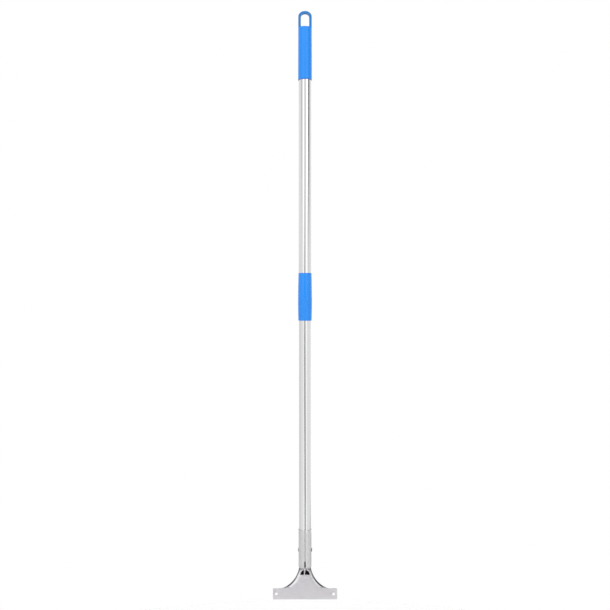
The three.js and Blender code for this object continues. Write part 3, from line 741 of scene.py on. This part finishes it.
def grip():
    """The grip as one skin around its axis: a round body with a soft shoulder, and the loop's blade
    that rises from it, with the loop's hole cut through."""
    sides = 144
    dome_z = TOTAL - LOOP_ARCH
    power = 26.0

    def least(*limits):
        """The smallest of several distances, with the corners between them rounded."""
        return sum(limit ** -power for limit in limits) ** (-1 / power)

    def most(first, second):
        """The larger of two distances, with the corner between them filled."""
        return (first ** 14 + second ** 14) ** (1 / 14)

    def body_radius(z):
        return mix(GRIP_WIDE, GRIP_NARROW, (z - GRIP_BOTTOM) / (LOOP_SHOULDER - GRIP_BOTTOM))

    points, rings = [], []

    def ring(maker):
        """One more ring of the skin, from the direction of each of its points."""
        rings.append(len(points))
        for i in range(sides):
            angle = 2 * math.pi * i / sides
            points.append(maker(math.sin(angle), -math.cos(angle)))

    def blade(sy):
        """How far the loop's blade reaches from the axis in a direction."""
        return least(GRIP_NARROW, LOOP_HALF / max(abs(sy), 1e-4))

    bore = OUTER_RADIUS + 0.1
    mouth = [(0.6 * bore, GRIP_BORE_TOP), (bore, GRIP_BORE_TOP), (bore, GRIP_BOTTOM + 0.3),
             (bore + 0.2, GRIP_BOTTOM)] + arc((GRIP_WIDE - 0.5, GRIP_BOTTOM + 0.5), 0.5, -90, 0, 5)
    for r, z in mouth:
        ring(lambda sx, sy, r=r, z=z: (r * sx, r * sy, z))
    rim = GRIP_SHOULDER
    for z in steps(GRIP_BOTTOM + 0.6, LOOP_SHOULDER - rim, 60)[1:]:
        ring(lambda sx, sy, z=z: (body_radius(z) * sx, body_radius(z) * sy, z))
    shoulder = arc((GRIP_NARROW - rim, LOOP_SHOULDER - rim), rim, 0, 82, 8)[1:]
    shoulder += [(mix(GRIP_NARROW - rim, LOOP_HALF + LOOP_FILLET, t), LOOP_SHOULDER + 0.5 * t)
                 for t in steps(0, 1, 8)[1:]]
    foot = (LOOP_HALF + LOOP_FILLET, LOOP_SHOULDER + 0.5 + LOOP_FILLET)
    shoulder += arc(foot, LOOP_FILLET, 270, 180, 6)[1:]
    for r, z in shoulder:
        def level(sx, sy, r=r, z=z):
            out = min(most(r, blade(sy)), GRIP_NARROW)
            return out * sx, out * sy, z
        ring(level)
    for z in steps(shoulder[-1][1], dome_z, 24)[1:]:
        ring(lambda sx, sy, z=z: (blade(sy) * sx, blade(sy) * sy, z))
    for lift in steps(0, 90, 40)[1:-1]:
        c, s = math.cos(math.radians(lift)), math.sin(math.radians(lift))

        def cap(sx, sy):
            across = math.hypot(sx * c / GRIP_NARROW, s / LOOP_ARCH)
            r = least(1 / across, LOOP_HALF / max(abs(sy * c), 1e-4))
            r = min(r, GRIP_NARROW / max(c, 1e-4))
            return r * sx * c, r * sy * c, dome_z + r * s
        ring(cap)
    faces = [f for a, b in zip(rings, rings[1:]) for f in ring_faces(a, b, sides)]
    top = len(points)
    points.append((0, 0, TOTAL - 0.02))
    faces += [(rings[-1] + i, rings[-1] + (i + 1) % sides, top) for i in range(sides)]
    faces.append(tuple(range(sides - 1, -1, -1)))
    body = make("grip_shell", points, faces, blue_grip, "upper_pole", "grip")

    corner = LOOP_HOLE_CORNER
    half = LOOP_HOLE_HALF
    outline = [(half * math.cos(math.radians(a)),
                LOOP_HOLE_TOP - LOOP_HOLE_ARCH * (1 - math.sin(math.radians(a))))
               for a in steps(0, 180, 36)]
    outline += arc((-half + corner, LOOP_HOLE_BOTTOM + corner), corner, 180, 270, 6)
    outline += arc((half - corner, LOOP_HOLE_BOTTOM + corner), corner, 270, 360, 6)
    count = len(outline)
    cutter_points = [(x, y, z) for y in (-20, 20) for x, z in outline]
    cutter_faces = [tuple(range(count)), tuple(range(2 * count - 1, count - 1, -1))]
    cutter_faces += ring_faces(0, count, count)
    cutter = make("loop_cutter", cutter_points, cutter_faces, blue_grip, "upper_pole", None)
    cut = body.modifiers.new("loop_hole", "BOOLEAN")
    cut.operation = "DIFFERENCE"
    cut.solver = "EXACT"
    cut.object = cutter
    settle(body)
    bpy.data.objects.remove(cutter)
    bevel(body, 0.9, 4, 60)
    shade(body, 45)
    even_normals(body)


head_plate()
throat_rib()
socket_sleeve()
rivet(-1, "left", rivet_steel)
# the right rivet gets the painted shade
rivet(1, "right", rivet_shaded)
tube("inner_tube_shell", "inner_tube", INNER_RADIUS, INNER_WALL, "lower_pole")
tube("outer_tube_shell", "outer_tube", OUTER_RADIUS, OUTER_WALL, "upper_pole")
collar()
grip()

# the lock inside the pole keeps its CAD shapes
LOCK_FINISHES = {
    "spindle_plug": black_plastic,
    "plug_pin_left": zinc_steel,
    "plug_pin_right": zinc_steel,
    "lock_screw": zinc_steel,
    "thrust_washer": zinc_steel,
    "expander_sleeve": nylon,
    "friction_ring": black_rubber,
    "cone_nut": black_plastic,
    "stop_nut": zinc_steel,
}
for node, finish in LOCK_FINISHES.items():
    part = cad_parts[node]
    part.data.materials.clear()
    part.data.materials.append(finish)


# ------------------------------------------------------------------ studio
# Panels of the light tent around the tool, by azimuth (0 towards the camera, 90 to the right) and
# elevation in degrees. For each: its azimuth and how far that leans for each degree up, half its
# width, the softness of its edges, how much it adds to or takes from the tent's brightness, and the
# elevations between which it fades in.
TENT = 1.34
PANELS = {
    "gap_for_the_camera_low": ((-8, -1.0), 6, 7, -1.05, (9.0, -2.0)),
    "light_low_front": ((8, 0), 14, 10, 0.8, (-14.8, -16.5)),
    "gap_for_the_camera_high": ((3, 0), 10, 9, -0.2, (2.0, 8.0)),
    "strip_right": ((30, 0), 2, 7, 0.5, None),
    "strip_right_middle": ((30, 0), 4, 8, 0.5, (-4.0, 3.0)),
    "strip_right_high": ((42, 0), 11, 7, 0.9, (4.0, 10.0)),
    "strip_left": ((-27, 0), 6, 12, 0.2, None),
    "strip_left_high": ((-27, 0), 7, 9, 0.6, (-2.0, 6.0)),
    "dark_side_right_high": ((73, 0), 11, 8, -1.15, (2.0, 10.0)),
    "dark_side_left_high": ((-66, 0), 6, 12, -0.5, (3.0, 12.0)),
    "dim_left_low": ((-118, 0), 18, 30, -0.2, (5.0, -1.0)),
    "dark_right_end": ((135, 0), 20, 12, -0.6, (-11.8, -12.8)),
    "gap_behind_right": ((180, 0), 8, 8, -0.8, None),
    "gap_behind_left": ((-180, 0), 8, 8, -0.8, None),
    "strip_behind": ((154, 0), 4, 6, 0.5, None),
}
CEILING_FRONT = 26.0              # elevation where the tent ends in front of the tool
CEILING_SIDE = 20.0               # and at its sides and behind it
CEILING_SOFT = 12.0
CEILING_LIGHT = 0.3
KEY_LIGHT = (-12.0, 42.0, 25.0, 4.2, (32.0, 48.0))   # above the camera, a panel that doesn't lean

FLOOR_RADIUS = 1.6                # metres, as is the drop from the tool to the floor
FLOOR_DROP = 0.5


def light_tent():
    """A bright tent with its panels, seen by the tool, and a white backdrop, seen by the camera."""
    world = bpy.data.worlds.new("light_tent")
    bpy.context.scene.world = world
    world.use_nodes = True
    tree = world.node_tree
    tree.nodes.clear()
    link = tree.links.new

    def math_node(operation, *values):
        node = tree.nodes.new("ShaderNodeMath")
        node.operation = operation
        for socket, value in zip(node.inputs, values):
            if isinstance(value, (int, float)):
                socket.default_value = value
            else:
                link(value, socket)
        return node.outputs["Value"]

    def window(value, start, end):
        """1 at the end value and 0 at the start value, with a soft step between them."""
        node = tree.nodes.new("ShaderNodeMapRange")
        node.interpolation_type = "SMOOTHSTEP"
        low, high = min(start, end), max(start, end)
        node.inputs["From Min"].default_value = low
        node.inputs["From Max"].default_value = high
        node.inputs["To Min"].default_value = 1.0 if start > end else 0.0
        node.inputs["To Max"].default_value = 0.0 if start > end else 1.0
        link(value, node.inputs["Value"])
        return node.outputs["Result"]

    direction = tree.nodes.new("ShaderNodeTexCoord")
    axes = tree.nodes.new("ShaderNodeSeparateXYZ")
    link(direction.outputs["Generated"], axes.inputs["Vector"])
    x, y, z = axes.outputs
    azimuth = math_node("DEGREES", math_node("ARCTAN2", x, math_node("MULTIPLY", y, -1.0)))
    elevation = math_node("DEGREES", math_node("ARCSINE", z))

    light = math_node("ADD", TENT, 0.0)
    for (level, slant), half, soft, gain, fade in PANELS.values():
        centre = math_node("ADD", math_node("MULTIPLY", elevation, float(slant)), float(level))
        away = math_node("ABSOLUTE", math_node("SUBTRACT", azimuth, centre))
        share = window(away, half + soft, half)
        if fade:
            share = math_node("MULTIPLY", share, window(elevation, *fade))
        light = math_node("ADD", light, math_node("MULTIPLY", share, gain))
    aside = window(math_node("ABSOLUTE", azimuth), 30.0, 65.0)
    edge = math_node("ADD", math_node("MULTIPLY", aside, CEILING_SIDE - CEILING_FRONT), CEILING_FRONT)
    above = window(math_node("SUBTRACT", elevation, edge), 0.0, CEILING_SOFT)
    light = math_node("MULTIPLY", light,
                      math_node("SUBTRACT", 1.0, math_node("MULTIPLY", above, 1 - CEILING_LIGHT)))

    azimuth_of_key, half, soft, gain, fade = KEY_LIGHT
    away = math_node("ABSOLUTE", math_node("SUBTRACT", azimuth, azimuth_of_key))
    key = math_node("MULTIPLY", window(away, half + soft, half), window(elevation, *fade))
    light = math_node("ADD", light, math_node("MULTIPLY", key, gain))

    tent = tree.nodes.new("ShaderNodeBackground")
    link(light, tent.inputs["Strength"])
    backdrop = tree.nodes.new("ShaderNodeBackground")
    backdrop.inputs["Color"].default_value = (1, 1, 1, 1)
    seen = tree.nodes.new("ShaderNodeLightPath")
    choice = tree.nodes.new("ShaderNodeMixShader")
    link(seen.outputs["Is Camera Ray"], choice.inputs[0])
    link(tent.outputs[0], choice.inputs[1])
    link(backdrop.outputs[0], choice.inputs[2])
    output = tree.nodes.new("ShaderNodeOutputWorld")
    link(choice.outputs[0], output.inputs["Surface"])


def studio_floor():
    """A pale round floor below the hanging tool."""
    mesh = bpy.data.meshes.new("floor")
    made = bmesh.new()
    bmesh.ops.create_circle(made, cap_ends=True, segments=96, radius=FLOOR_RADIUS)
    made.to_mesh(mesh)
    made.free()
    floor = bpy.data.objects.new("floor", mesh)
    floor.location.z = LOWEST - FLOOR_DROP
    bpy.context.scene.collection.objects.link(floor)
    material, tree, shader = new_material("floor_paint")
    shader.inputs["Base Color"].default_value = (0.93, 0.93, 0.93, 1)
    shader.inputs["Roughness"].default_value = 0.9
    mesh.materials.append(material)


def camera():
    """Square on, level with the middle of the tool."""
    distance = 1.9
    view_width = 1.22             # at the pole's plane
    middle = 588.8 * MM + LOWEST
    data = bpy.data.cameras.new("camera")
    data.sensor_width = 36.0
    data.lens = data.sensor_width * distance / view_width
    data.clip_start = 0.01
    eye = bpy.data.objects.new("camera", data)
    eye.location = (0.0, -distance, middle)
    eye.rotation_euler = (math.radians(90), 0, 0)
    bpy.context.scene.collection.objects.link(eye)
    bpy.context.scene.camera = eye


light_tent()
studio_floor()
camera()
bpy.context.scene.view_settings.view_transform = "Standard"
